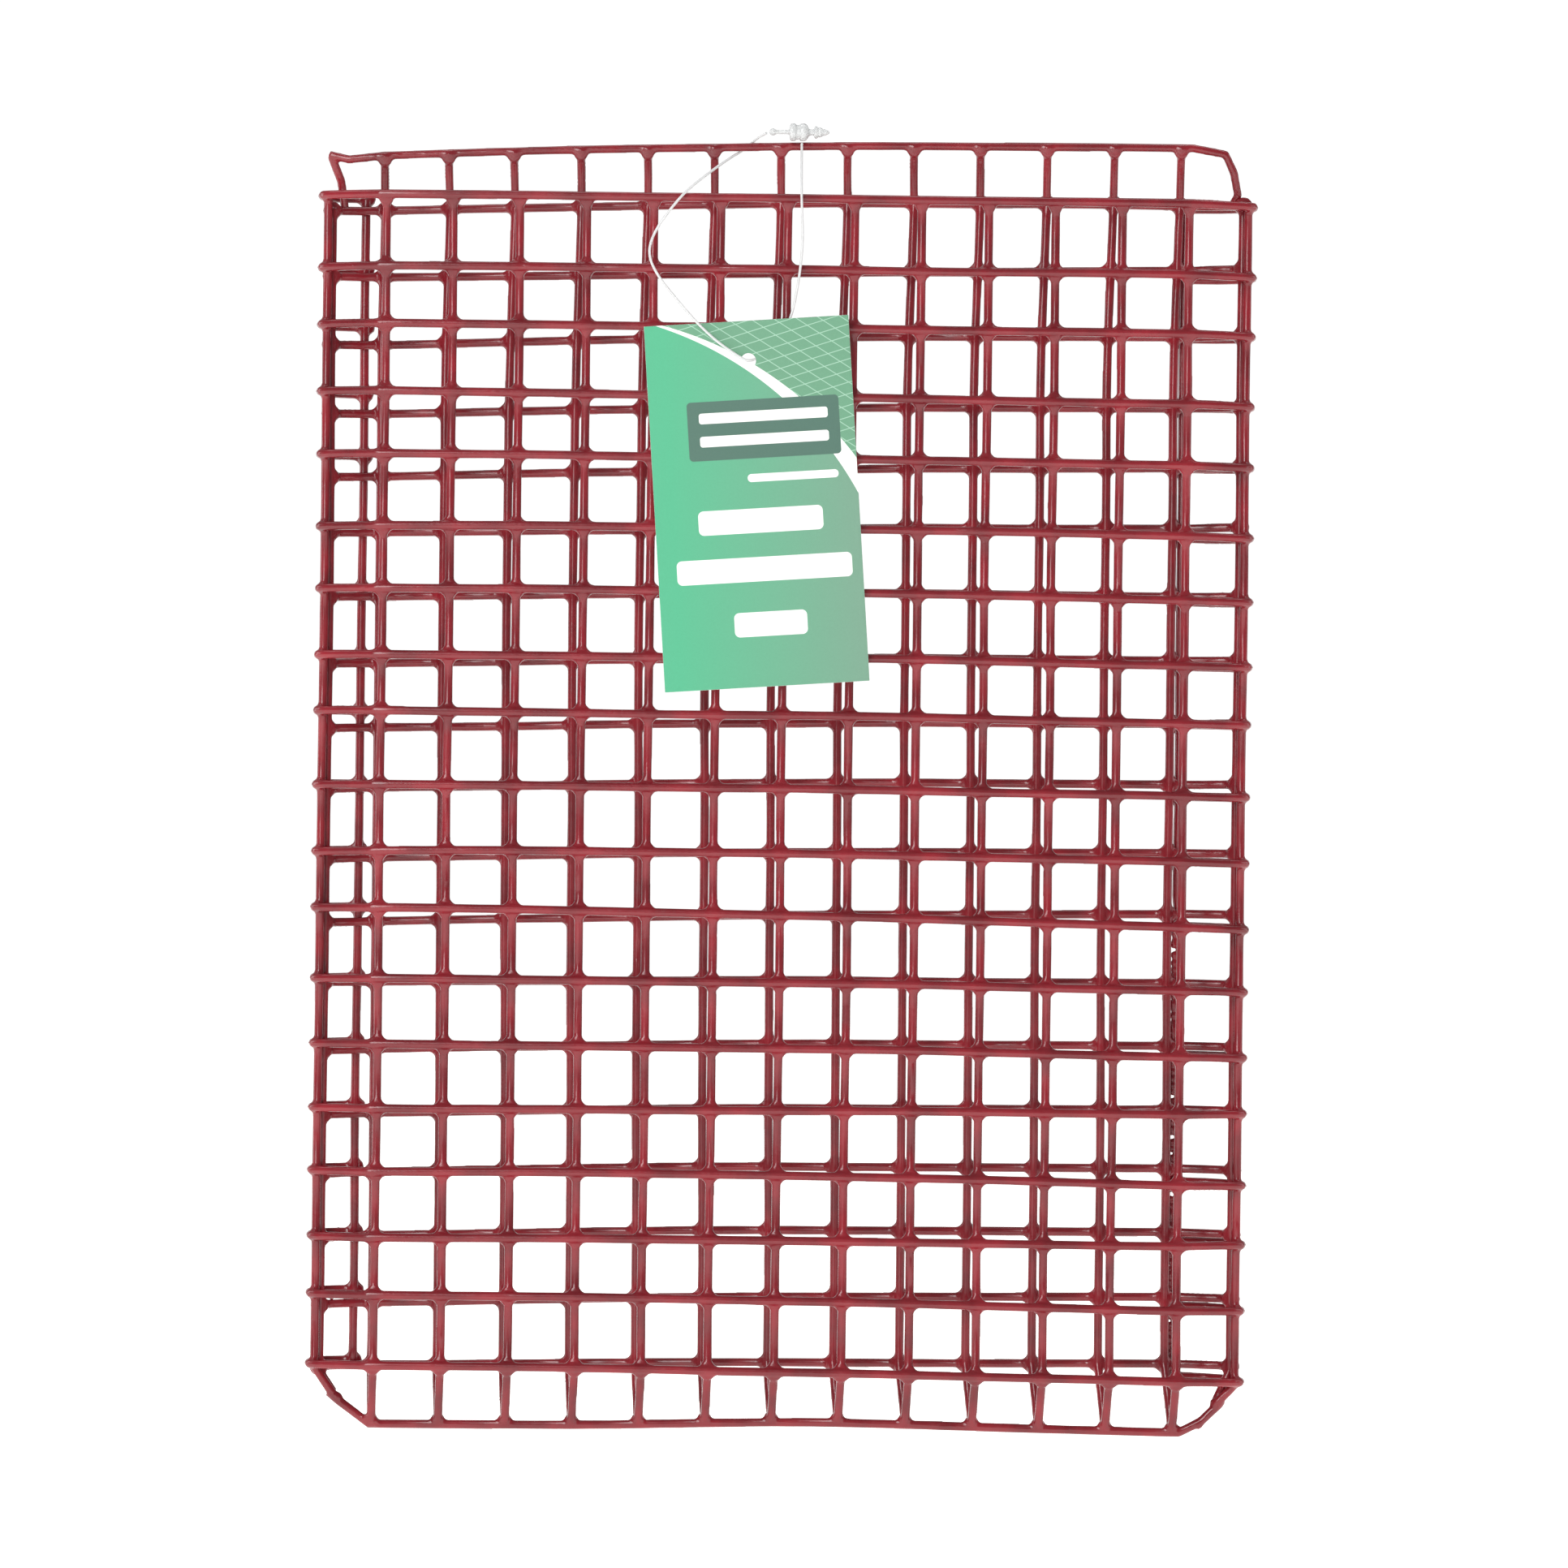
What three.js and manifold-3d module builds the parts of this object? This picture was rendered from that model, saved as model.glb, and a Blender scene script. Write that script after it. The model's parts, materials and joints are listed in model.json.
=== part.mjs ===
// Flat bait pouch of plastic-dipped welded wire mesh, folded from one sheet.
// Millimetres, +Z up, X across the pouch, the front faces -Y.
// The origin is the middle of the top wire of the fold-over flap.
import * as THREE from 'three';
import { mergeVertices } from 'three/addons/utils/BufferGeometryUtils.js';
import Module from 'manifold-3d';

// Driving dimensions
const pitch = 12.7;            // spacing of the upright wires
const wireDia = 1.7;           // steel wire with its plastic coat
const layerStep = 2.0;         // centre to centre where two wires cross
const innerUprights = 6;       // upright wires each side of the middle one
const halfDepth = 4.05;        // upright wires stand this far from the middle plane
const frontEdgeX = 87.5;       // fold line of the front sheet
const backEdgeX = 86.7;        // edge wire of the back sheet, inside the fold
const frontEdgeY = -0.3;
const backEdgeY = 1.9;
const wireEnd = 1.0;           // uprights run this far past their last cross wire
const bottomZ = -244.1;        // the single cross wire in the bottom fold
const leftFlangeX = -80.8;     // end wires of the flanges folded behind the back
const rightFlangeX = 76.2;

// Heights of the nineteen cross wires at the left fold, the middle and the right fold
const rowSpan = 81;
const frontRows = [
  [-10.4, -10.3, -10.5], [-24.0, -23.8, -24.0], [-34.9, -34.9, -35.3], [-47.7, -48.0, -48.6],
  [-59.6, -59.7, -60.2], [-73.3, -73.0, -73.6], [-85.2, -85.1, -85.8], [-97.9, -97.6, -98.2],
  [-108.5, -108.5, -109.2], [-122.5, -122.4, -123.0], [-135.1, -134.7, -135.5], [-145.9, -146.4, -148.0],
  [-159.4, -159.2, -160.0], [-171.8, -171.7, -172.6], [-184.0, -183.5, -183.4], [-195.9, -195.8, -196.9],
  [-208.4, -208.2, -208.3], [-219.4, -219.6, -220.7], [-232.8, -233.1, -234.2],
];
// The back rows climb to the right
const backRows = [
  [-12.8, -10.5, -10.1], [-25.4, -23.8, -22.3], [-38.4, -36.1, -35.0], [-51.6, -49.6, -48.6],
  [-63.7, -61.4, -60.0], [-74.4, -72.7, -71.6], [-86.7, -85.0, -84.8], [-99.5, -97.5, -97.0],
  [-111.8, -109.9, -109.0], [-123.3, -121.3, -120.6], [-136.6, -134.6, -133.8], [-148.7, -146.7, -145.5],
  [-160.2, -159.2, -158.8], [-173.2, -171.3, -170.8], [-185.5, -183.6, -183.0], [-196.8, -194.8, -194.3],
  [-209.0, -207.0, -206.5], [-221.8, -219.7, -218.8], [-233.6, -232.2, -231.6],
];

// Swing card, its loop and the snap lock of the loop
const card = { width: 38.8, height: 69.4, thick: 0.4, hole: 27.1, holeDia: 2.8 };
const cardPlace = { x: -5.3, y: -8.6, z: -68.5, tilt: 4.0 };
const loopDia = 0.5;
const lock = { y: -1.5, z: 2.6 };

const red = { color: 0xa02832, roughness: 0.35, metalness: 0.0 };
const darkRed = { color: 0x7e2029, roughness: 0.4, metalness: 0.0 };
const green = { color: 0x0c5a46, roughness: 0.5, metalness: 0.0 };
const clear = { color: 0xd8dadb, roughness: 0.15, metalness: 0.0 };

const wasm = await Module();
wasm.setup();

// A path through given points, with one section of the tube at each point
class PointPath extends THREE.Curve {
  constructor(points) {
    super();
    this.points = points.map((p) => new THREE.Vector3(...p));
  }
  place(u) {
    const last = this.points.length - 1;
    const at = Math.min(Math.max(u, 0), 1) * last;
    const index = Math.min(Math.floor(at), last - 1);
    return { index, part: at - index, last };
  }
  getPointAt(u, target = new THREE.Vector3()) {
    const { index, part } = this.place(u);
    return target.copy(this.points[index]).lerp(this.points[index + 1], part);
  }
  getTangentAt(u, target = new THREE.Vector3()) {
    const { index, part, last } = this.place(u + 1e-9);
    const here = index + Math.round(part);
    const before = this.points[Math.max(here - 1, 0)];
    const after = this.points[Math.min(here + 1, last)];
    const middle = this.points[here];
    target.copy(after).sub(middle).normalize();
    if (here > 0) {
      const incoming = middle.clone().sub(before).normalize();
      target.add(incoming).normalize();
    }
    return target;
  }
}

function roundSection(diameter, sides) {
  const section = new THREE.Shape();
  for (let i = 0; i < sides; i++) {
    const angle = (2 * Math.PI * i) / sides;
    const x = (diameter / 2) * Math.cos(angle);
    const y = (diameter / 2) * Math.sin(angle);
    if (i === 0) section.moveTo(x, y);
    else section.lineTo(x, y);
  }
  section.closePath();
  return section;
}

function tube(points, diameter = wireDia, sides = 6) {
  const path = new PointPath(points);
  const options = { steps: points.length - 1, bevelEnabled: false, extrudePath: path };
  return new THREE.ExtrudeGeometry(roundSection(diameter, sides), options);
}

function toSolid(geometry) {
  const bare = geometry.clone();
  bare.deleteAttribute('normal');
  bare.deleteAttribute('uv');
  const merged = mergeVertices(bare, 1e-5);
  const vertProperties = new Float32Array(merged.attributes.position.array);
  const triVerts = new Uint32Array(merged.index.array);
  return new wasm.Manifold(new wasm.Mesh({ numProp: 3, vertProperties, triVerts }));
}

function fromSolid(solid) {
  const mesh = solid.getMesh();
  const geometry = new THREE.BufferGeometry();
  geometry.setAttribute('position', new THREE.BufferAttribute(new Float32Array(mesh.vertProperties), 3));
  geometry.setIndex(new THREE.BufferAttribute(new Uint32Array(mesh.triVerts), 1));
  return geometry;
}

const bag = new THREE.Group();

function add(name, geometry, look) {
  const mesh = new THREE.Mesh(geometry, new THREE.MeshStandardMaterial(look));
  mesh.name = name;
  bag.add(mesh);
  return mesh;
}

// Height of a row at x, on a shallow arc through its three heights
function rowZ([left, middle, right], x) {
  const along = x / rowSpan;
  const tilt = (right - left) / 2;
  const sag = (right + left) / 2 - middle;
  return middle + tilt * along + sag * along ** 2;
}

const firstFront = frontRows[0];
const lastFront = frontRows[frontRows.length - 1];
const firstBack = backRows[0];
const lastBack = backRows[backRows.length - 1];

// The back uprights stand a little to the left of the front ones
function backShift(column) {
  return Math.min(2.0, 1.0 + 0.5 * (column + innerUprights));
}

function number(value) {
  return String(value).padStart(2, '0');
}

// Front cross wires: over the front, round both folds and back to the flange end wires
const foldLeft = [[-84.2, 9.0], [-87.8, 6.8], [-89.3, 4.0], [-89.5, 0.6], [-88.9, -1.8], [-87.0, -3.1]];
const foldRight = [[87.0, -3.1], [88.9, -1.8], [89.5, 0.6], [89.3, 4.0], [87.4, 7.0], [82.6, 9.5]];
const flatStops = [-77.2, -38.6, 0, 38.6, 77.2];

frontRows.forEach((heights, row) => {
  const flat = flatStops.map((x) => [x, -halfDepth - layerStep]);
  const start = [leftFlangeX + wireEnd, 9.7];
  const end = [rightFlangeX - wireEnd, 10.0];
  const outline = [start, ...foldLeft, ...flat, ...foldRight, end];
  const points = outline.map(([x, y]) => [x, y, rowZ(heights, x)]);
  add(`front_cross_wire_${number(row + 1)}`, tube(points), red);
});

// Back cross wires: over the back, easing forward to the edge wires
backRows.forEach((heights, row) => {
  const flat = flatStops.map((x) => [x, halfDepth + layerStep]);
  const outline = [[-87.6, 3.75], ...flat, [87.6, 3.75]];
  const points = outline.map(([x, y]) => [x, y, rowZ(heights, x)]);
  add(`back_cross_wire_${number(row + 1)}`, tube(points), darkRed);
});

// Uprights: down the front, round the bottom fold and up the back
function uprightPoints(column) {
  const frontX = column * pitch;
  const backX = frontX - backShift(column);
  const lowX = frontX - 0.6;
  const foldZ = bottomZ + layerStep;
  const frontLow = rowZ(lastFront, frontX) - wireEnd;
  return [
    [frontX, -halfDepth, rowZ(firstFront, frontX) + wireEnd],
    [frontX, -halfDepth, frontLow],
    [lowX, -1.7, foldZ + 1.3],
    [lowX, -0.8, foldZ + 0.3],
    [lowX, 0, foldZ],
    [lowX, 0.8, foldZ + 0.3],
    [lowX, 1.7, foldZ + 1.3],
    [backX + 0.5, halfDepth, frontLow],
    [backX, halfDepth, rowZ(firstBack, backX) + wireEnd],
  ];
}

for (let column = -innerUprights; column <= innerUprights; column++) {
  add(`upright_wire_${number(column + innerUprights + 1)}`, tube(uprightPoints(column)), red);
}

// Rim: the two edge wires of the front and the bottom cross wire, welded at the pushed-in corners
const cornerZ = -239.3;

function rimHalf(side) {
  const x = side * frontEdgeX;
  return [
    [x, frontEdgeY, rowZ(firstFront, x) + wireEnd],
    [x, frontEdgeY, rowZ(lastFront, x) - 0.3],
    [side * 84.0, 0, cornerZ],
    [side * 77.8, 0, bottomZ],
  ];
}

add('rim_wire', tube([...rimHalf(-1), ...rimHalf(1).reverse()]), red);

// Edge wires of the back, tucked inside the folds
for (const [name, side] of [['left', -1], ['right', 1]]) {
  const x = side * backEdgeX;
  const top = rowZ(firstBack, x) + wireEnd;
  const low = rowZ(lastBack, x) - wireEnd;
  add(`${name}_back_edge_wire`, tube([[x, backEdgeY, top], [x, backEdgeY, low]]), darkRed);
}

// End wires of the two side flanges, behind the back
for (const [name, x, y] of [['left', leftFlangeX, 7.35], ['right', rightFlangeX, 8.0]]) {
  const top = rowZ(firstFront, x) + wireEnd;
  const low = rowZ(lastFront, x) - wireEnd;
  add(`${name}_flange_wire`, tube([[x, y, top], [x, y, low]]), darkRed);
}

// Flap: the top wire and the last stretch of each back upright, welded together
function flapTopZ(x) {
  return x < 0 ? x * 0.018 - (x / 60) ** 2 * 0.7 : x * 0.008;
}

function flapSolid() {
  const topPoints = [];
  for (let x = -87.6; x < 77; x += 20.55) topPoints.push([x, 0, flapTopZ(x)]);
  topPoints.push([83.0, 0.4, -0.5], [84.4, 1.4, -5.0], [84.6, 2.2, -7.9]);
  let solid = toSolid(tube(topPoints));
  const gap = 0.3;
  const legs = [[-84.8, 2.4, -87.0, 0.0]];
  for (let column = -innerUprights; column <= innerUprights; column++) {
    const low = column * pitch - backShift(column);
    const high = column * pitch - Math.min(1.4, 0.6 + 0.4 * (column + innerUprights));
    legs.push([low, halfDepth, high, 0.0]);
  }
  for (const [lowX, lowY, highX, highY] of legs) {
    const lowZ = rowZ(firstBack, lowX) + wireEnd + gap;
    solid = solid.add(toSolid(tube([[lowX, lowY, lowZ], [highX, highY, flapTopZ(highX)]])));
  }
  return solid;
}

add('flap', fromSolid(flapSolid()), red);

// Card with its punched hole
function cardSolid() {
  const outline = new THREE.Shape();
  outline.moveTo(-card.width / 2, -card.height / 2);
  outline.lineTo(card.width / 2, -card.height / 2);
  outline.lineTo(card.width / 2, card.height / 2);
  outline.lineTo(-card.width / 2, card.height / 2);
  outline.closePath();
  const hole = new THREE.Path();
  hole.absarc(0, card.hole, card.holeDia / 2, 0, 2 * Math.PI, true);
  outline.holes.push(hole);
  const options = { depth: card.thick, bevelEnabled: false, curveSegments: 8 };
  const geometry = new THREE.ExtrudeGeometry(outline, options);
  geometry.translate(0, 0, -card.thick / 2);
  return geometry;
}

const swingCard = add('swing_card', cardSolid(), green);
swingCard.rotation.set(Math.PI / 2, -THREE.MathUtils.degToRad(cardPlace.tilt), 0, 'YXZ');
swingCard.position.set(cardPlace.x, cardPlace.y, cardPlace.z);

// Loop: from the bead of the lock, behind the top wire, down through the card and up to the barrel
const loopRoute = [
  [-4.3, -1.45, 2.35], [-5.3, -0.4, 2.0], [-6.4, 0.9, 1.3], [-7.6, 1.55, 0.3], [-9.0, 1.35, -0.9],
  [-11.0, -0.3, -2.2], [-14.6, -3.8, -5.1], [-19.2, -7.3, -9.1], [-22.3, -8.1, -12.8], [-25.3, -8.4, -17.2],
  [-26.5, -9.0, -21.2], [-24.9, -9.5, -25.2], [-20.8, -9.6, -30.2], [-16.8, -9.6, -34.7],
  [-13.1, -9.6, -38.0], [-10.2, -9.7, -40.0], [-8.2, -9.4, -41.2], [-7.1, -8.6, -41.5],
  [-5.9, -7.8, -41.1], [-4.2, -7.6, -39.9], [-1.4, -7.7, -37.1], [0.9, -7.7, -33.2],
  [2.3, -7.7, -25.4], [2.9, -7.8, -18.5], [2.6, -7.9, -12.6], [2.5, -7.4, -9.0],
  [2.45, -4.9, -5.0], [2.45, -2.2, -1.4], [2.45, -1.7, 0.45],
];
const loopStops = loopRoute.map((p) => new THREE.Vector3(...p));
const loopCurve = new THREE.CatmullRomCurve3(loopStops, false, 'centripetal');
const loopOptions = { steps: 72, bevelEnabled: false, extrudePath: loopCurve };
add('tag_loop', new THREE.ExtrudeGeometry(roundSection(loopDia, 8), loopOptions), clear);

// Snap lock: bead, stem, ribbed barrel and barbed tip, turned about X
function lockGeometry() {
  const profile = [
    [0, -3.85], [0.53, -3.6], [0.75, -3.1], [0.53, -2.6], [0.42, -2.4], [0.42, 0], [1.3, 0.15], [1.75, 0.5],
    [1.75, 1.2], [1.45, 1.5], [1.45, 2.0], [1.75, 2.3], [1.75, 3.1], [1.4, 3.7], [0.6, 4.0], [0.6, 4.6],
    [1.25, 5.0], [0.9, 6.3], [0.35, 7.6], [0, 7.75],
  ];
  const points = profile.map(([radius, along]) => new THREE.Vector2(radius, along));
  return new THREE.LatheGeometry(points, 12);
}

const snapLock = add('loop_lock', lockGeometry(), clear);
snapLock.rotation.set(0, 0, -Math.PI / 2);
snapLock.position.set(0, lock.y, lock.z);

export default bag;
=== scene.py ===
# Wire bait bag: a flat pouch of red dipped mesh, with a swing card on a clear snap loop.
import json
import math

import bpy
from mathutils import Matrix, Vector, noise

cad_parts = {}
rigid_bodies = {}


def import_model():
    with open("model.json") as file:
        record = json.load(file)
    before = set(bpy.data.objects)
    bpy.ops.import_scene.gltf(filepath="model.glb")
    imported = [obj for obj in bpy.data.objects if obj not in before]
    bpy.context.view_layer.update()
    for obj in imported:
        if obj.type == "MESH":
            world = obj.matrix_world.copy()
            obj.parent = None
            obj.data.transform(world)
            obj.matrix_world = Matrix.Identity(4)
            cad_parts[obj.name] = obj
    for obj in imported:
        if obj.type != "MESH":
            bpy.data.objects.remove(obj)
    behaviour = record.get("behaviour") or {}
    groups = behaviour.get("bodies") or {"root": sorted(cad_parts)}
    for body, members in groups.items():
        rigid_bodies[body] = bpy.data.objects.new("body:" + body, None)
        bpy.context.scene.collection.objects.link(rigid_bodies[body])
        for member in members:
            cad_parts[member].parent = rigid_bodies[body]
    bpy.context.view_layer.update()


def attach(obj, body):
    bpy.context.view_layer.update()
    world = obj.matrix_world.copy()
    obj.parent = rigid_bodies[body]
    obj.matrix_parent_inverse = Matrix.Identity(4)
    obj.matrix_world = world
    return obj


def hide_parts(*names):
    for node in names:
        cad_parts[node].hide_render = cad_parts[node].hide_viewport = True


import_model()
mm = 0.001


def hexToLinear(code):
    channels = [int(code[i:i + 2], 16) / 255 for i in (1, 3, 5)]
    linear = [c / 12.92 if c <= 0.04045 else ((c + 0.055) / 1.055) ** 2.4 for c in channels]
    return (*linear, 1.0)


def deselectAll():
    if bpy.context.object and bpy.context.object.mode != "OBJECT":
        bpy.ops.object.mode_set(mode="OBJECT")
    bpy.ops.object.select_all(action="DESELECT")


def makeActive(piece):
    deselectAll()
    piece.select_set(True)
    bpy.context.view_layer.objects.active = piece


def joinPieces(pieces, name):
    deselectAll()
    for piece in pieces:
        piece.select_set(True)
    bpy.context.view_layer.objects.active = pieces[0]
    if len(pieces) > 1:
        bpy.ops.object.join()
    joined = bpy.context.object
    joined.name = name
    return joined


def applyModifier(piece, kind, **settings):
    makeActive(piece)
    modifier = piece.modifiers.new(kind.title(), kind)
    for key, value in settings.items():
        setattr(modifier, key, value)
    bpy.ops.object.modifier_apply(modifier=modifier.name)


def bakePlace(piece):
    # place, turn and size go into the mesh, as on a CAD node
    makeActive(piece)
    bpy.ops.object.transform_apply(location=True, rotation=True, scale=True)


def addNode(tree, kind, settings=None, links=None):
    node = tree.nodes.new(kind)
    for key, value in (settings or {}).items():
        setattr(node, key, value)
    for key, value in (links or {}).items():
        if isinstance(value, bpy.types.NodeSocket):
            tree.links.new(value, node.inputs[key])
        else:
            node.inputs[key].default_value = value
    return node


def newMaterial(name):
    material = bpy.data.materials.new(name)
    material.use_nodes = True
    tree = material.node_tree
    return material, tree, tree.nodes["Principled BSDF"]


# Camera: square on to the front, level with the middle of the bag
view = {"distance": 1.30, "lens": 156.6, "aimX": 0.5 * mm, "aimZ": -121.5 * mm, "roll": -0.68}


def addCamera():
    place = (view["aimX"], -view["distance"], view["aimZ"])
    turn = (math.radians(90), math.radians(view["roll"]), 0)
    bpy.ops.object.camera_add(location=place, rotation=turn)
    camera = bpy.context.object
    camera.data.lens = view["lens"]
    camera.data.sensor_width = 36
    bpy.context.scene.camera = camera


addCamera()
print("camera placed")

# Nylon of the loop and its lock
nylon = {"haze": 0.6, "hazeSpread": 0.12, "light": "#eceded", "transmission": 0.3, "ior": 1.53}
# Loop: one clear filament from the bead of the lock, through the card and up to the barrel
loop = {"diameter": 0.5 * mm, "length": 0.114, "roughness": 0.28, "tint": "#dfe1e2"}
loopRoute = [
    (-4.3, -1.45, 2.35), (-5.3, -0.4, 2.0), (-6.4, 0.9, 1.3), (-7.6, 1.55, 0.3), (-9.0, 1.35, -0.9),
    (-11.0, -0.3, -2.2), (-14.6, -3.8, -5.1), (-19.2, -7.3, -9.1), (-22.3, -8.1, -12.8),
    (-25.3, -8.4, -17.2), (-26.5, -9.0, -21.2), (-24.9, -9.5, -25.2), (-20.8, -9.6, -30.2),
    (-16.8, -9.6, -34.7), (-13.1, -9.6, -38.0), (-10.2, -9.7, -40.0), (-8.2, -9.4, -41.2),
    (-7.1, -8.6, -41.5), (-5.9, -7.8, -41.1), (-4.2, -7.6, -39.9), (-1.4, -7.7, -37.1),
    (0.9, -7.7, -33.2), (2.3, -7.7, -25.4), (2.9, -7.8, -18.5), (2.6, -7.9, -12.6), (2.5, -7.4, -9.0),
    (2.45, -4.9, -5.0), (2.45, -2.2, -1.4), (2.45, -1.7, 0.45),
]


def clearNylon(name, roughness, tint):
    # Injection moulded nylon: clear with a slight haze, so it shows as grey edges on white
    material, tree, shader = newMaterial(name)
    place = addNode(tree, "ShaderNodeTexCoord").outputs["Object"]
    haze = addNode(
        tree, "ShaderNodeTexNoise", None, {"Vector": place, "Scale": 1 / (nylon["haze"] * mm), "Detail": 2.0})
    spread = addNode(
        tree, "ShaderNodeMapRange", None,
        {"Value": haze.outputs["Fac"], "To Min": roughness, "To Max": roughness + nylon["hazeSpread"]})
    tree.links.new(spread.outputs["Result"], shader.inputs["Roughness"])
    tone = addNode(tree, "ShaderNodeValToRGB", None, {"Fac": haze.outputs["Fac"]})
    tone.color_ramp.elements[0].color = hexToLinear(tint)
    tone.color_ramp.elements[1].color = hexToLinear(nylon["light"])
    tree.links.new(tone.outputs["Color"], shader.inputs["Base Color"])
    shader.inputs["Transmission Weight"].default_value = nylon["transmission"]
    shader.inputs["IOR"].default_value = nylon["ior"]
    return material


def makeLoop():
    deselectAll()
    bpy.ops.curve.primitive_nurbs_path_add()
    piece = bpy.context.object
    piece.name = "tagLoop"
    line = piece.data
    line.splines.clear()
    spline = line.splines.new("NURBS")
    spline.points.add(len(loopRoute) - 1)
    for point, place in zip(spline.points, loopRoute):
        point.co = (*(Vector(place) * mm), 1.0)
    spline.order_u = 3
    spline.use_endpoint_u = True
    spline.resolution_u = 8
    line.bevel_depth = loop["diameter"] / 2
    line.bevel_resolution = 4
    line.use_fill_caps = True
    line.materials.append(clearNylon("clearNylonLoop", loop["roughness"], loop["tint"]))
    return piece


tagLoop = makeLoop()
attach(tagLoop, "loop")
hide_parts("tag_loop")
print("loop laid")

# Lock of the loop, turned about X: bead, stem, ribbed barrel and barbed tip, as (along, radius)
lock = {"y": -1.5, "z": 2.6, "steps": 28, "roughness": 0.22, "tint": "#c9cccd"}
lockProfile = [
    (-3.8, 0.0), (-3.72, 0.3), (-3.5, 0.56), (-3.1, 0.72), (-2.75, 0.62), (-2.5, 0.44), (-2.2, 0.38),
    (-0.2, 0.4), (0.0, 0.6), (0.15, 1.3), (0.3, 1.6), (0.6, 1.7), (1.15, 1.7), (1.35, 1.5), (1.5, 1.38),
    (1.95, 1.38), (2.1, 1.55), (2.3, 1.7), (2.9, 1.7), (3.2, 1.6), (3.5, 1.3), (3.8, 0.75), (4.1, 0.56),
    (4.6, 0.56), (4.8, 0.9), (5.0, 1.2), (5.3, 1.15), (5.6, 0.85), (5.75, 0.98), (6.3, 0.82),
    (6.5, 0.6), (6.7, 0.66), (7.3, 0.42), (7.6, 0.25), (7.7, 0.0),
]


def makeLock():
    deselectAll()
    bpy.ops.mesh.primitive_plane_add(size=mm)
    bpy.ops.object.mode_set(mode="EDIT")
    bpy.ops.mesh.select_all(action="SELECT")
    bpy.ops.mesh.merge(type="CENTER")
    start = Vector((lockProfile[0][0], 0, lockProfile[0][1])) * mm
    bpy.ops.transform.translate(value=start)
    for before, after in zip(lockProfile, lockProfile[1:]):
        step = (after[0] - before[0], 0, after[1] - before[1])
        bpy.ops.mesh.extrude_region_move(TRANSFORM_OT_translate={"value": Vector(step) * mm})
    bpy.ops.mesh.select_all(action="SELECT")
    bpy.ops.mesh.spin(steps=lock["steps"], angle=2 * math.pi, center=(0, 0, 0), axis=(1, 0, 0))
    bpy.ops.mesh.select_all(action="SELECT")
    bpy.ops.mesh.remove_doubles(threshold=0.01 * mm)
    bpy.ops.mesh.normals_make_consistent(inside=False)
    bpy.ops.object.mode_set(mode="OBJECT")
    piece = bpy.context.object
    piece.name = "loopLock"
    bpy.ops.object.shade_smooth()
    piece.location = (0, lock["y"] * mm, lock["z"] * mm)
    bakePlace(piece)
    piece.data.materials.append(clearNylon("clearNylonLock", lock["roughness"], lock["tint"]))
    return piece


loopLock = makeLock()
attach(loopLock, "loop")
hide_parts("loop_lock")
print("lock turned")

# Swing card, millimetres about its middle, printed on the front only
card = {
    "width": 38.8, "height": 69.4, "thick": 0.4, "tilt": -4.0, "place": (-5.3, -8.6, -68.5),
    "hole": 27.1, "holeRadius": 1.45, "edge": 0.07,
    "mint": "#49a980", "dusty": "#6d957f", "netGreen": "#639678", "netLine": "#a3c9b3",
    "paper": "#f2f5f0", "plate": "#46695c", "boardDark": "#d9d8cf", "boardLight": "#eeede7",
    "uvPerMetre": 10, "fadeFrom": -16.0, "fadeTo": 19.0, "netHalfLine": 0.06, "softEdge": 0.05,
}
# two sets of net lines: degrees and spacing
netSets = [(36, 2.4), (-14, 2.1)]
# arcs of the white band: middle and radius
bandUpper = (-37.09, -29.49, 67.56)
bandLower = (-40.93, -27.68, 66.74)
# plain bars that stand for the print: middle, half size, corner radius
platePlace = (2.2, 14.2, 14.4, 5.6, 0.8)
plateBars = [(2.2, 16.6, 12.2, 1.0, 0.5), (2.2, 12.2, 12.2, 1.0, 0.5)]
whiteBars = [
    (7.2, 4.9, 8.6, 0.75, 0.7), (0.6, -3.2, 11.8, 2.3, 1.0), (0.8, -12.4, 16.6, 2.3, 1.0),
    (1.4, -22.8, 6.9, 2.3, 1.0),
]


def maths(tree, operation, first, second):
    return addNode(tree, "ShaderNodeMath", {"operation": operation}, {0: first, 1: second}).outputs[0]


def vectorMaths(tree, operation, first, second):
    node = addNode(tree, "ShaderNodeVectorMath", {"operation": operation}, {0: first, 1: second})
    return node.outputs["Value" if operation in ("LENGTH", "DOT_PRODUCT") else "Vector"]


def inside(tree, distance):
    # 1 where the distance is below zero, with a printed edge a tenth of a millimetre soft
    soft = card["softEdge"]
    links = {"Value": distance, "From Min": -soft, "From Max": soft, "To Min": 1.0, "To Max": 0.0}
    return addNode(tree, "ShaderNodeMapRange", None, links).outputs["Result"]


def paint(tree, under, over, mask):
    node = addNode(tree, "ShaderNodeMix", {"data_type": "RGBA"}, {0: mask, 6: under, 7: over})
    return node.outputs[2]


def roundBar(tree, place, bar):
    x, z, halfWidth, halfHeight, corner = bar
    apart = vectorMaths(tree, "SUBTRACT", place, (x, z, 0))
    apart = vectorMaths(tree, "ABSOLUTE", apart, (0, 0, 0))
    apart = vectorMaths(tree, "SUBTRACT", apart, (halfWidth - corner, halfHeight - corner, 0))
    apart = vectorMaths(tree, "MAXIMUM", apart, (0, 0, 0))
    return inside(tree, maths(tree, "SUBTRACT", vectorMaths(tree, "LENGTH", apart, (0, 0, 0)), corner))


def insideArc(tree, place, arc):
    apart = vectorMaths(tree, "SUBTRACT", place, (arc[0], arc[1], 0))
    return inside(tree, maths(tree, "SUBTRACT", vectorMaths(tree, "LENGTH", apart, (0, 0, 0)), arc[2]))


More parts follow.
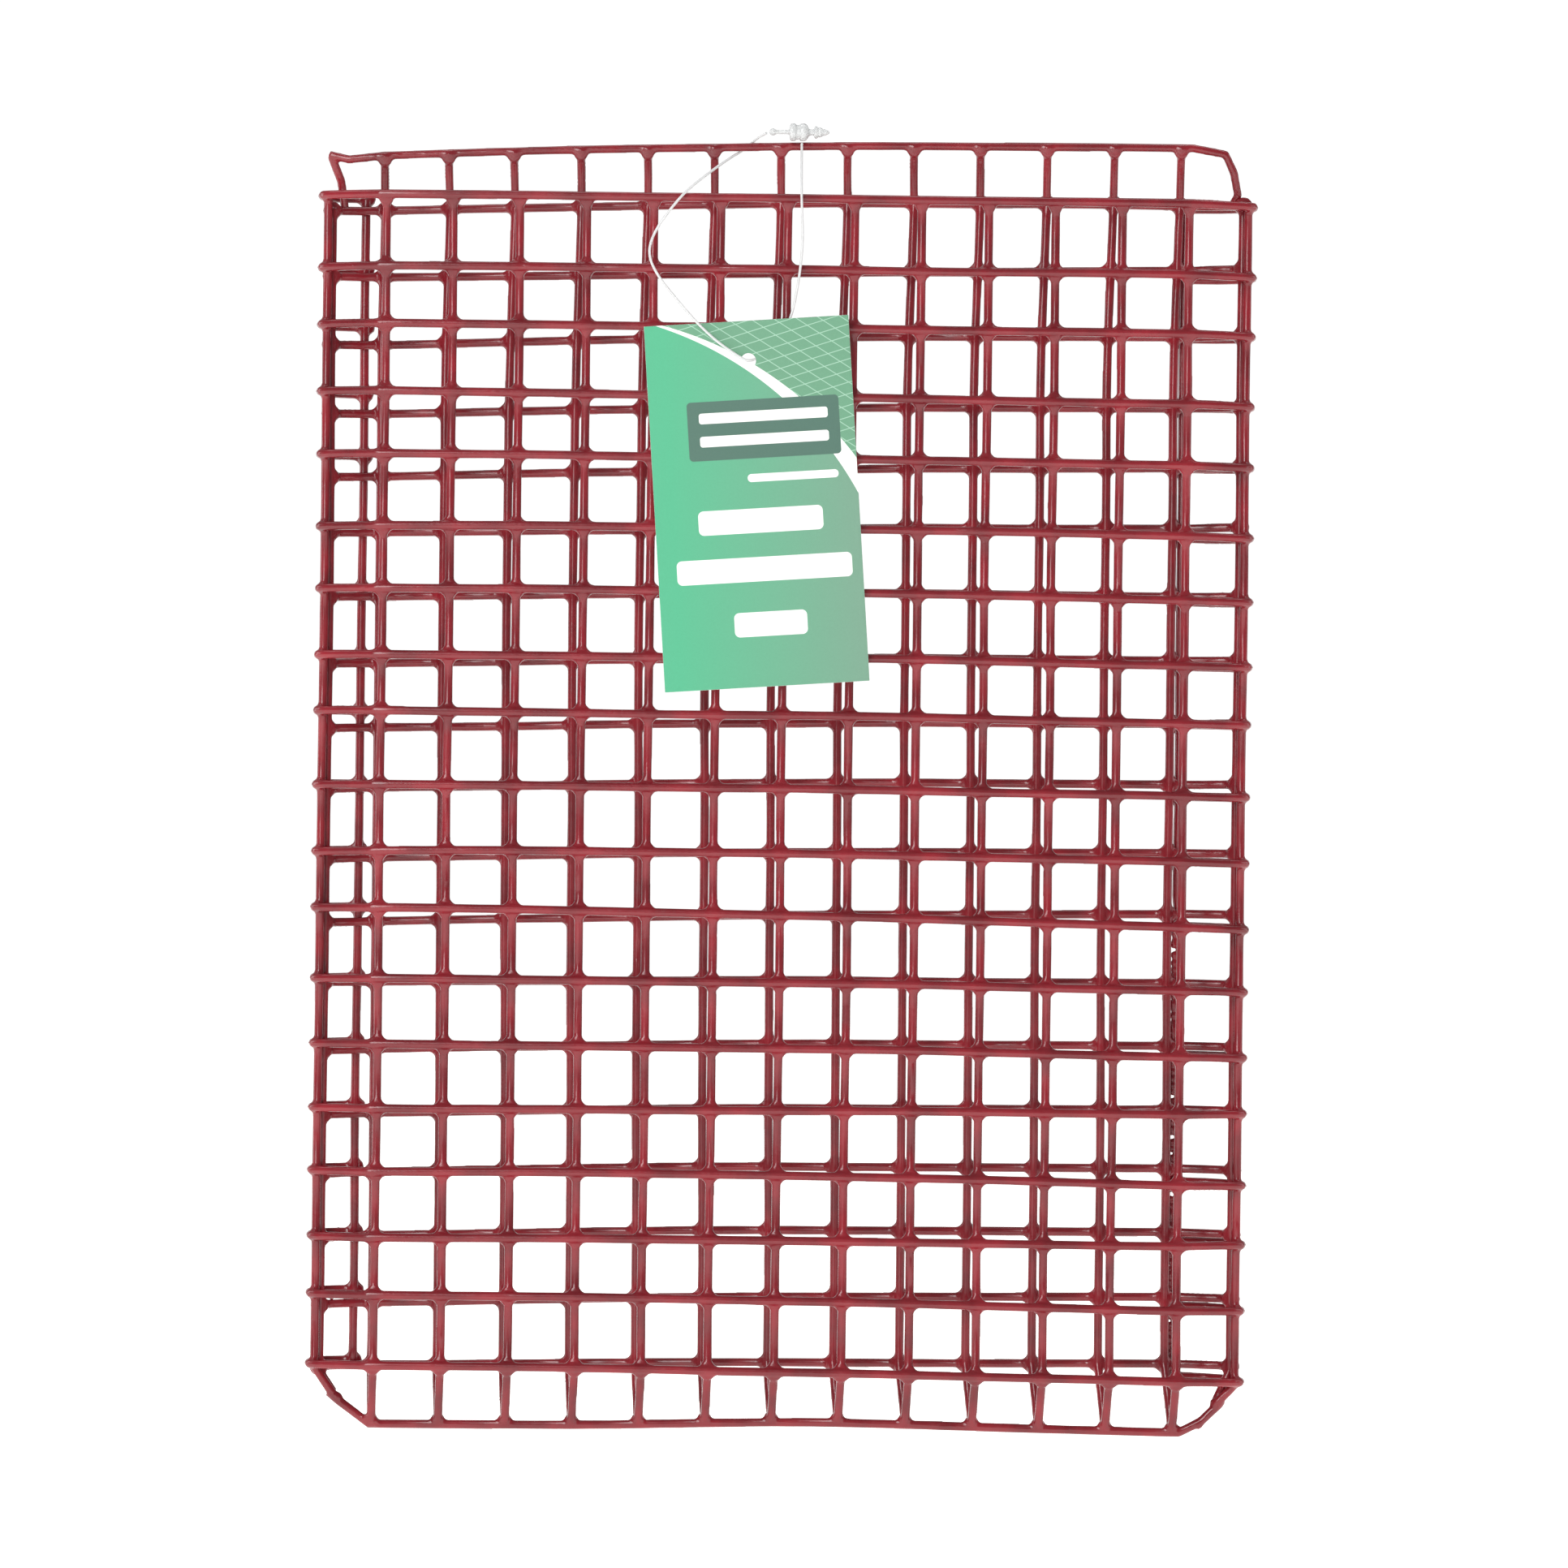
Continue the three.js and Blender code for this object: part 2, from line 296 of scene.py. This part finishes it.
def netLines(tree, place, degrees, spacing):
    across = (math.sin(math.radians(degrees)), math.cos(math.radians(degrees)), 0)
    along = vectorMaths(tree, "DOT_PRODUCT", place, across)
    wave = maths(tree, "PINGPONG", along, spacing / 2)
    return inside(tree, maths(tree, "SUBTRACT", wave, card["netHalfLine"]))


def printedCard():
    # Offset print with a thin varnish on coated board
    material, tree, shader = newMaterial("printedCard")
    sheet = addNode(tree, "ShaderNodeUVMap", {"uv_map": "print"}).outputs["UV"]
    toMm = 1 / (card["uvPerMetre"] * mm)
    place = vectorMaths(tree, "MULTIPLY", sheet, (toMm, toMm, 0))
    x = addNode(tree, "ShaderNodeSeparateXYZ", None, {0: place}).outputs["X"]
    fade = addNode(
        tree, "ShaderNodeMapRange", None,
        {"Value": x, "From Min": card["fadeFrom"], "From Max": card["fadeTo"]}).outputs["Result"]
    grain = addNode(
        tree, "ShaderNodeTexNoise", None, {"Vector": place, "Scale": 2.2, "Detail": 4.0}).outputs["Fac"]
    colour = paint(tree, hexToLinear(card["mint"]), hexToLinear(card["dusty"]), fade)
    net = maths(tree, "MAXIMUM", *[netLines(tree, place, *netSet) for netSet in netSets])
    netColour = paint(tree, hexToLinear(card["netGreen"]), hexToLinear(card["netLine"]), net)
    white = hexToLinear(card["paper"])
    colour = paint(tree, netColour, colour, insideArc(tree, place, bandLower))
    band = maths(tree, "SUBTRACT", insideArc(tree, place, bandUpper), insideArc(tree, place, bandLower))
    colour = paint(tree, colour, white, maths(tree, "MAXIMUM", band, 0.0))
    colour = paint(tree, colour, hexToLinear(card["plate"]), roundBar(tree, place, platePlace))
    for bar in plateBars + whiteBars:
        colour = paint(tree, colour, white, roundBar(tree, place, bar))
    speckle = addNode(tree, "ShaderNodeMapRange", None, {"Value": grain, "To Min": 0.94, "To Max": 1.04})
    speckled = addNode(
        tree, "ShaderNodeVectorMath", {"operation": "SCALE"}, {0: colour, "Scale": speckle.outputs["Result"]})
    tree.links.new(speckled.outputs["Vector"], shader.inputs["Base Color"])
    sheen = addNode(tree, "ShaderNodeMapRange", None, {"Value": grain, "To Min": 0.34, "To Max": 0.46})
    tree.links.new(sheen.outputs["Result"], shader.inputs["Roughness"])
    bump = addNode(tree, "ShaderNodeBump", None, {"Strength": 0.15, "Distance": 0.02 * mm, "Height": grain})
    tree.links.new(bump.outputs["Normal"], shader.inputs["Normal"])
    return material


def plainBoard():
    # Uncoated back and cut edges of the board
    material, tree, shader = newMaterial("plainBoard")
    place = addNode(tree, "ShaderNodeTexCoord").outputs["Object"]
    fibres = addNode(
        tree, "ShaderNodeTexNoise", None, {"Vector": place, "Scale": 1 / (0.9 * mm), "Detail": 5.0})
    tone = addNode(tree, "ShaderNodeValToRGB", None, {"Fac": fibres.outputs["Fac"]})
    tone.color_ramp.elements[0].color = hexToLinear(card["boardDark"])
    tone.color_ramp.elements[1].color = hexToLinear(card["boardLight"])
    tree.links.new(tone.outputs["Color"], shader.inputs["Base Color"])
    bump = addNode(
        tree, "ShaderNodeBump", None,
        {"Strength": 0.3, "Distance": 0.03 * mm, "Height": fibres.outputs["Fac"]})
    tree.links.new(bump.outputs["Normal"], shader.inputs["Normal"])
    shader.inputs["Roughness"].default_value = 0.7
    return material


def makeCard():
    deselectAll()
    bpy.ops.mesh.primitive_cube_add(size=mm)
    piece = bpy.context.object
    piece.name = "swingCard"
    bpy.ops.transform.resize(value=(card["width"], card["thick"], card["height"]))
    bpy.ops.object.transform_apply(scale=True)
    applyModifier(piece, "BEVEL", width=card["edge"] * mm, segments=2)
    deselectAll()
    bpy.ops.mesh.primitive_cylinder_add(
        vertices=40, radius=card["holeRadius"] * mm, depth=4 * mm, location=(0, 0, card["hole"] * mm),
        rotation=(math.radians(90), 0, 0))
    punch = bpy.context.object
    applyModifier(piece, "BOOLEAN", operation="DIFFERENCE", object=punch, solver="EXACT")
    bpy.data.objects.remove(punch)
    flat = piece.data
    layer = flat.uv_layers.new(name="print")
    for corner in flat.loops:
        place = flat.vertices[corner.vertex_index].co
        layer.data[corner.index].uv = (place.x * card["uvPerMetre"], place.z * card["uvPerMetre"])
    flat.uv_layers.active = layer
    flat.materials.clear()
    flat.materials.append(plainBoard())
    flat.materials.append(printedCard())
    for face in flat.polygons:
        face.material_index = 1 if face.normal.y < -0.9 else 0
    piece.rotation_euler = (0, math.radians(card["tilt"]), 0)
    piece.location = Vector(card["place"]) * mm
    bakePlace(piece)
    return piece


swingCard = makeCard()
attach(swingCard, "card")
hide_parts("swing_card")
print("card printed")

# Wires, millimetres: the dipped wires sink into each other where they cross
wires = {
    "front": 0.91, "back": 0.91, "flap": 0.86, "uprightY": 4.6, "crossY": 5.65, "edgeX": 87.6, "edgeY": -0.5,
    "backEdgeX": 86.8, "backEdgeY": 1.3, "overhang": 0.1,
    "seed": 7, "wander": 0.22, "wanderSpan": 38.0, "swell": 0.05, "swellSpan": 5.0, "stretch": 3.2,
    "web": 1.8, "endWeb": 1.35, "corner": 0.8, "webDepth": 0.55, "voxel": 0.32, "soften": 4,
    "pitch": 12.7, "pitchesAside": 6, "topStep": 7, "footShift": 0.5,
    "frontFaces": 190000, "backFaces": 170000, "flapFaces": 40000,
}
# end wires of the two side flanges; the right one steps out below the middle
flange = {
    "leftX": -80.8, "leftY": 6.15, "rightX": 76.0, "lowRightX": 76.8, "rightY": 6.5, "stepFrom": -142,
    "stepTo": -150, "low": 0.7, "leftWebY": 6.7, "rightWebY": 7.0,
}
pvc = {
    "deep": "#69131c", "bright": "#891c27", "deepAt": 0.35, "brightAt": 0.68, "roughness": 0.19,
    "mottle": 9.0, "pits": 0.9, "pitDepth": 0.06, "ior": 1.53,
}
# heights of the rows at the left fold, the middle and the right fold
rowSpan = 81
frontRows = [
    (-10.4, -10.3, -10.5), (-24.0, -23.8, -24.0), (-34.9, -34.9, -35.3), (-47.7, -48.0, -48.6),
    (-59.6, -59.7, -60.2), (-73.3, -73.0, -73.6), (-85.2, -85.1, -85.8), (-97.9, -97.6, -98.2),
    (-108.5, -108.5, -109.2), (-122.5, -122.4, -123.0), (-135.1, -134.7, -135.5), (-145.9, -146.4, -148.0),
    (-159.4, -159.2, -160.0), (-171.8, -171.7, -172.6), (-184.0, -183.5, -183.4), (-195.9, -195.8, -196.9),
    (-208.4, -208.2, -208.3), (-219.4, -219.6, -220.7), (-232.8, -233.1, -234.2),
]
backRows = [
    (-12.8, -10.5, -10.1), (-25.4, -23.8, -22.3), (-38.4, -36.1, -35.0), (-51.6, -49.6, -48.6),
    (-63.7, -61.4, -60.0), (-74.4, -72.7, -71.6), (-86.7, -85.0, -84.8), (-99.5, -97.5, -97.0),
    (-111.8, -109.9, -109.0), (-123.3, -121.3, -120.6), (-136.6, -134.6, -133.8), (-148.7, -146.7, -145.5),
    (-160.2, -159.2, -158.8), (-173.2, -171.3, -170.8), (-185.5, -183.6, -183.0), (-196.8, -194.8, -194.3),
    (-209.0, -207.0, -206.5), (-221.8, -219.7, -218.8), (-233.6, -232.2, -231.6),
]


def dippedPvc():
    # Plastisol PVC dip over steel wire: glossy and slightly uneven where it ran before it set
    material, tree, shader = newMaterial("dippedPvc")
    place = addNode(tree, "ShaderNodeTexCoord").outputs["Object"]
    broad = addNode(
        tree, "ShaderNodeTexNoise", None, {"Vector": place, "Scale": 1 / (pvc["mottle"] * mm), "Detail": 3.0})
    fine = addNode(
        tree, "ShaderNodeTexNoise", None, {"Vector": place, "Scale": 1 / (pvc["pits"] * mm), "Detail": 2.0})
    ramp = addNode(tree, "ShaderNodeValToRGB", None, {"Fac": broad.outputs["Fac"]})
    ramp.color_ramp.elements[0].position = pvc["deepAt"]
    ramp.color_ramp.elements[0].color = hexToLinear(pvc["deep"])
    ramp.color_ramp.elements[1].position = pvc["brightAt"]
    ramp.color_ramp.elements[1].color = hexToLinear(pvc["bright"])
    tree.links.new(ramp.outputs["Color"], shader.inputs["Base Color"])
    spread = addNode(
        tree, "ShaderNodeMapRange", None,
        {"Value": fine.outputs["Fac"], "To Min": pvc["roughness"] - 0.06, "To Max": pvc["roughness"] + 0.12})
    tree.links.new(spread.outputs["Result"], shader.inputs["Roughness"])
    bump = addNode(
        tree, "ShaderNodeBump", None,
        {"Strength": 0.3, "Distance": pvc["pitDepth"] * mm, "Height": fine.outputs["Fac"]})
    tree.links.new(bump.outputs["Normal"], shader.inputs["Normal"])
    shader.inputs["IOR"].default_value = pvc["ior"]
    return material


pvcCoat = dippedPvc()
# noise_vector shifts its field by the clock unless a seed is set
noise.seed_set(wires["seed"])


def wandered(place):
    # a slow drift shared by all wires of a sheet, so that crossings stay together
    x, y, z = place
    drift = noise.noise_vector(Vector((x, y * 6, z)) / wires["wanderSpan"])
    return Vector(place) + drift * wires["wander"]


def drawWire(points):
    # a single vertex pulled along the route in edit mode, with a stop every few millimetres
    stops = [Vector(points[0])]
    for before, after in zip(points, points[1:]):
        gap = Vector(after) - Vector(before)
        parts = max(1, round(gap.length / wires["stretch"]))
        stops += [Vector(before) + gap * (i + 1) / parts for i in range(parts)]
    stops = [wandered(stop) * mm for stop in stops]
    deselectAll()
    bpy.ops.mesh.primitive_plane_add(size=mm, location=stops[0])
    bpy.ops.object.transform_apply(location=True)
    bpy.ops.object.mode_set(mode="EDIT")
    bpy.ops.mesh.select_all(action="SELECT")
    bpy.ops.mesh.merge(type="CENTER")
    for before, after in zip(stops, stops[1:]):
        bpy.ops.mesh.extrude_region_move(TRANSFORM_OT_translate={"value": after - before})
    bpy.ops.object.mode_set(mode="OBJECT")
    return bpy.context.object


def thicken(lines, radius):
    # the drawn lines become round wires whose coat swells and thins along its length
    joined = joinPieces(lines, "wireLines")
    bpy.ops.object.convert(target="CURVE")
    curve = bpy.context.object.data
    curve.bevel_depth = radius * mm
    curve.bevel_resolution = 2
    curve.use_fill_caps = True
    for spline in curve.splines:
        for point in spline.points:
            place = Vector(point.co[:3]) / (wires["swellSpan"] * mm)
            point.radius = 1 + wires["swell"] * noise.noise(place)
    bpy.ops.object.convert(target="MESH")
    return bpy.context.object


def placeWebs(places, size):
    # a thin four-pointed star of coat rounds the corners of each crossing
    deselectAll()
    turn = (math.radians(90), 0, 0)
    bpy.ops.mesh.primitive_cylinder_add(
        vertices=12, radius=mm, depth=2 * wires["webDepth"] * mm, rotation=turn)
    bpy.ops.object.transform_apply(rotation=True)
    star = bpy.context.object
    for vertex in star.data.vertices:
        angle = math.atan2(vertex.co.z, vertex.co.x)
        corner = abs(math.sin(2 * angle)) > 0.98
        reach = size * (wires["corner"] if corner else 1.0)
        vertex.co.x = reach * mm * math.cos(angle)
        vertex.co.z = reach * mm * math.sin(angle)
    deselectAll()
    bpy.ops.mesh.primitive_plane_add(size=mm)
    carrier = bpy.context.object
    carrier.data.clear_geometry()
    carrier.data.from_pydata([wandered(place) * mm for place in places], [], [])
    star.parent = carrier
    carrier.instance_type = "VERTS"
    makeActive(carrier)
    bpy.ops.object.duplicates_make_real()
    copies = [piece for piece in bpy.context.selected_objects if piece != carrier]
    for piece in copies:
        piece.parent = None
        piece.data = piece.data.copy()
    bpy.data.objects.remove(carrier)
    bpy.data.objects.remove(star)
    return joinPieces(copies, "webs")


def placeDrips(drips):
    # thicker drops of coat where it ran before it set
    pieces = []
    for x, y, z, radius in drips:
        deselectAll()
        bpy.ops.mesh.primitive_uv_sphere_add(
            segments=12, ring_count=8, radius=radius * mm, location=Vector((x, y, z)) * mm)
        pieces.append(bpy.context.object)
    return joinPieces(pieces, "drips")


def fuse(parts, name, budget):
    # one skin of coat over wires and webs, with soft corners
    piece = joinPieces(parts, name)
    applyModifier(piece, "REMESH", mode="VOXEL", voxel_size=wires["voxel"] * mm, adaptivity=0)
    applyModifier(piece, "SMOOTH", factor=0.5, iterations=wires["soften"])
    faces = 2 * len(piece.data.polygons)
    if faces > budget:
        applyModifier(piece, "DECIMATE", ratio=budget / faces)
    makeActive(piece)
    bpy.ops.object.shade_smooth()
    piece.data.materials.clear()
    piece.data.materials.append(pvcCoat)
    print(name, "has", len(piece.data.polygons), "faces")
    return piece


columns = [wires["pitch"] * i for i in range(-wires["pitchesAside"], wires["pitchesAside"] + 1)]
# stops along the flat of a cross wire, and along the top and bottom wires
flatStops = (-77.2, -57, -38, -19, 0, 19, 38, 57, 77.2)
rimStops = range(-77, 78, wires["topStep"])
# the way of a front row round each fold, from behind the back to the front edge, as (x, y)
leftFold = [(-83.6, 6.6), (-86.6, 5.2), (-88.2, 3.0), (-88.75, 0.6), (-88.5, -1.2), (-87.0, -2.3)]
rightFold = [(82.6, 7.0), (86.4, 5.3), (88.2, 3.0), (88.75, 0.6), (88.5, -1.2), (87.0, -2.3)]


def rowZ(heights, x):
    left, middle, right = heights
    along = x / rowSpan
    return middle + (right - left) / 2 * along + ((right + left) / 2 - middle) * along ** 2


def backDrift(index, row):
    # the back uprights stand left of the front ones, less at the far left, at the mouth and near the fold
    most = (1.2, 1.7, 2.1)[min(index, 2)]
    least = 0.9 + 0.07 * index
    mouth = min(1.0, 0.66 + 0.13 * row)
    along = max(0.0, row - 8) / 10
    return most * mouth + (least - most) * along


def bottomZ(x):
    # the bottom wire bows up a little in the middle
    return -244.3 + 1.1 * math.exp(-((x - 12) / 42) ** 2)


def frontPoints(heights, row):
    leftTip = -79.4 - 0.5 * math.sin(row * 2.1)
    rightTip = 74.9 + 0.4 * math.sin(row * 1.7)
    flat = [(x, -wires["crossY"]) for x in flatStops]
    route = [(leftTip, 7.3), *leftFold, *flat, *reversed(rightFold), (rightTip, 7.6)]
    return [(x, y, rowZ(heights, x)) for x, y in route]


def edgeLine(x, y, low):
    # an upright that keeps to one plane, from above the first row to below the last
    return [(x, y, rowZ(frontRows[0], x) + wires["overhang"]), (x, y, rowZ(frontRows[-1], x) - low)]


# torn coat at the lower corners and on the last row but one, as x, y, z and radius
cornerDrips = [
    (-83.3, 0.2, -239.4, 1.1), (84.2, 0.3, -238.6, 1.2), (80.9, -0.2, -242.6, 0.95),
    (-77.3, -0.7, -243.1, 0.85), (-76.1, -0.9, -243.8, 0.75), (-76.7, -1.0, -242.3, 0.6),
    (-75.2, -0.6, -244.5, 0.6), (-86.6, 3.0, -220.6, 0.5), (-84.8, 3.4, -220.7, 0.55),
    (-83.4, 3.6, -220.6, 0.4), (-82.2, 3.6, -220.7, 0.5),
]
# runs of coat that half close the seam between the right flange wire and its neighbour
seam = {
    "x": 75.4, "y": 5.8, "top": -148.0, "low": -232.0, "radius": 0.6, "vary": 0.2, "step": 1.35, "drift": 0.8,
}


def seamDrips():
    drips = []
    z = seam["top"]
    while z > seam["low"]:
        radius = seam["radius"] + seam["vary"] * noise.noise(Vector((z, 0, 0)))
        drips.append((seam["x"], seam["y"], z, radius))
        z -= seam["step"] + seam["drift"] * noise.noise(Vector((0, z, 0)))
    return drips


def buildFront():
    lines = [drawWire(frontPoints(heights, row)) for row, heights in enumerate(frontRows)]
    for x in columns:
        fold = bottomZ(x) + 0.5
        foot = [(x - 0.4, -0.6, fold + 0.6), (x - wires["footShift"], 0, fold)]
        lines.append(drawWire([*edgeLine(x, -wires["uprightY"], 0.6), *foot]))
    for side in (-1, 1):
        edge = edgeLine(side * wires["edgeX"], wires["edgeY"], 0.6)
        lines.append(drawWire([*edge, (side * 84.0, 0, -238.6)]))
    lines.append(drawWire(edgeLine(flange["leftX"], flange["leftY"], flange["low"])))
    y = flange["rightY"]
    top, low = edgeLine(flange["rightX"], y, flange["low"])
    step = [(flange["rightX"], y, flange["stepFrom"]), (flange["lowRightX"], y, flange["stepTo"])]
    lines.append(drawWire([top, *step, (flange["lowRightX"], y, low[2])]))
    bottom = [(-84.9, 0.5, -238.3), (-83.3, 0.3, -239.6)]
    bottom += [(x, 0, bottomZ(x)) for x in rimStops]
    bottom += [(81.2, 0, -242.0), (84.4, 0.3, -239.0), (85.3, 0.5, -237.9)]
    lines.append(drawWire(bottom))
    body = thicken(lines, wires["front"])
    middle = -(wires["uprightY"] + wires["crossY"]) / 2
    places = [(x, middle, rowZ(heights, x)) for x in columns for heights in frontRows[1:]]
    for heights in frontRows:
        places.append((flange["leftX"], flange["leftWebY"], rowZ(heights, flange["leftX"])))
        places.append((flange["rightX"], flange["rightWebY"], rowZ(heights, flange["rightX"])))
    webs = placeWebs(places, wires["web"])
    ends = [(x - wires["footShift"], 0, bottomZ(x) + 0.9) for x in columns]
    ends += [(x, middle, rowZ(frontRows[0], x) - 0.9) for x in columns]
    footWebs = placeWebs(ends, wires["endWeb"])
    drips = placeDrips([*cornerDrips, *seamDrips()])
    return fuse([body, webs, footWebs, drips], "frontMesh", wires["frontFaces"])


def buildBack():
    lines = []
    for heights in backRows:
        flat = [(x, wires["crossY"]) for x in flatStops]
        outline = [(-87.2, 2.4), *flat, (87.2, 2.4)]
        lines.append(drawWire([(x, y, rowZ(heights, x)) for x, y in outline]))
    y = wires["uprightY"]
    places = []
    for index, x in enumerate(columns):
        route = [(x - backDrift(index, row), y, rowZ(heights, x)) for row, heights in enumerate(backRows)]
        places += [(px, (y + wires["crossY"]) / 2, pz) for px, py, pz in route]
        top = route[0]
        route[0] = (top[0], top[1], top[2] + 0.4)
        footX = x - wires["footShift"]
        route += [(footX, 0.6, bottomZ(x) + 1.1), (footX, 0, bottomZ(x) + 0.5)]
        lines.append(drawWire(route))
    for side in (-1, 1):
        x = side * wires["backEdgeX"]
        top = rowZ(backRows[0], x) + 0.4
        low = rowZ(backRows[-1], x) - 0.6
        edge = [(x, wires["backEdgeY"], top), (x, wires["backEdgeY"], low)]
        lines.append(drawWire([*edge, (side * 84.0, 0.8, -238.4)]))
        places += [(side * 86.9, 1.9, rowZ(heights, x)) for heights in backRows]
    body = thicken(lines, wires["back"])
    webs = placeWebs(places, wires["web"])
    return fuse([body, webs], "backMesh", wires["backFaces"])


def flapTopZ(x):
    return x * 0.022 - (x / 60) ** 2 * 0.6 if x < 0 else 0.7 * math.sin(min(x, 76) / 76 * 1.6)


def buildFlap():
    top = [(-87.6, 0.6, -2.6), (-83.8, 0.2, -3.5)]
    top += [(x, 0.1, flapTopZ(x)) for x in rimStops]
    # the end uprights stand just inside the side folds, so that the row can bend past the first front wire
    left = -84.6
    right = 84.9
    top += [(83.2, 0.3, -0.4), (right, 1.1, -3.8), (85.8, 2.2, -8.0)]
    top.append((right, 3.6, rowZ(backRows[0], right) + 0.4))
    lines = [drawWire(top)]
    places = []
    leftFoot = (left, 3.8, rowZ(backRows[0], left) + 0.3)
    lines.append(drawWire([leftFoot, (-85.3, 2.2, -7.4), (-87.2, 0.6, -2.8)]))
    for index, x in enumerate(columns):
        lowX = x - backDrift(index, 0)
        highX = x - (0.7, 1.2, 1.5)[min(index, 2)]
        high = flapTopZ(highX)
        foot = (lowX, wires["uprightY"], rowZ(backRows[0], x))
        lines.append(drawWire([foot, (highX, -0.4, high + 0.2)]))
        places.append((highX, -0.1, high - 0.8))
    body = thicken(lines, wires["flap"])
    webs = placeWebs(places, wires["endWeb"])
    return fuse([body, webs], "flapMesh", wires["flapFaces"])


frontMesh = buildFront()
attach(frontMesh, "bag")
uprightNodes = [f"upright_wire_{i:02d}" for i in range(1, 14)]
frontNodes = [f"front_cross_wire_{i:02d}" for i in range(1, 20)]
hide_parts(*frontNodes, *uprightNodes, "rim_wire", "left_flange_wire", "right_flange_wire")
backMesh = buildBack()
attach(backMesh, "bag")
backNodes = [f"back_cross_wire_{i:02d}" for i in range(1, 20)]
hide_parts(*backNodes, "left_back_edge_wire", "right_back_edge_wire")
flapMesh = buildFlap()
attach(flapMesh, "flap")
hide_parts("flap")
print("mesh fused")

# Stage: a lit pale table before a bright backdrop, in a booth that is dimmer beside and behind the camera
stage = {
    "floorZ": -0.262, "floorSize": 6.0, "glow": 0.8, "floor": "#fbfaf7", "light": "#fffefc", "aimZ": -0.12,
}
# how bright the booth is from straight behind the camera (0) to straight behind the bag (1)
booth = [(0.0, 0.26), (0.5, 0.34), (0.84, 0.4), (0.95, 1.06)]
# soft boxes: place, width, height, power
softBoxes = [
    ((-0.45, -1.1, 0.4), 0.5, 0.9, 11.0), ((-1.0, 0.12, -0.1), 0.25, 1.1, 3.6),
    ((1.0, 0.05, -0.1), 0.25, 1.1, 1.8), ((0.0, 0.1, 0.85), 1.2, 0.25, 3.0),
]


def addStage():
    deselectAll()
    bpy.ops.mesh.primitive_plane_add(size=stage["floorSize"], location=(0, 0, stage["floorZ"]))
    floor = bpy.context.object
    floor.name = "studioFloor"
    material, _, shader = newMaterial("paleFloor")
    shader.inputs["Base Color"].default_value = hexToLinear(stage["floor"])
    shader.inputs["Roughness"].default_value = 0.9
    shader.inputs["Emission Color"].default_value = hexToLinear(stage["light"])
    shader.inputs["Emission Strength"].default_value = stage["glow"]
    floor.data.materials.append(material)
    world = bpy.data.worlds.new("studio")
    world.use_nodes = True
    tree = world.node_tree
    direction = addNode(tree, "ShaderNodeTexCoord").outputs["Generated"]
    depth = addNode(tree, "ShaderNodeSeparateXYZ", None, {0: direction}).outputs["Y"]
    depth = addNode(tree, "ShaderNodeMapRange", None, {"Value": depth, "From Min": -1.0}).outputs["Result"]
    ramp = addNode(tree, "ShaderNodeValToRGB", None, {"Fac": depth})
    ramp.color_ramp.interpolation = "EASE"
    while len(ramp.color_ramp.elements) < len(booth):
        ramp.color_ramp.elements.new(0.5)
    for stop, (position, level) in zip(ramp.color_ramp.elements, booth):
        stop.position = position
        stop.color = (level, level, level, 1.0)
    background = tree.nodes["Background"]
    background.inputs["Color"].default_value = (1, 1, 1, 1)
    tree.links.new(ramp.outputs["Color"], background.inputs["Strength"])
    bpy.context.scene.world = world
    for place, width, height, power in softBoxes:
        bpy.ops.object.light_add(type="AREA", location=place)
        lamp = bpy.context.object
        lamp.data.shape = "RECTANGLE"
        lamp.data.size = width
        lamp.data.size_y = height
        lamp.data.energy = power
        aim = Vector((0, 0, stage["aimZ"])) - Vector(place)
        lamp.rotation_euler = aim.to_track_quat("-Z", "Y").to_euler()
    bpy.context.scene.view_settings.view_transform = "Standard"


addStage()
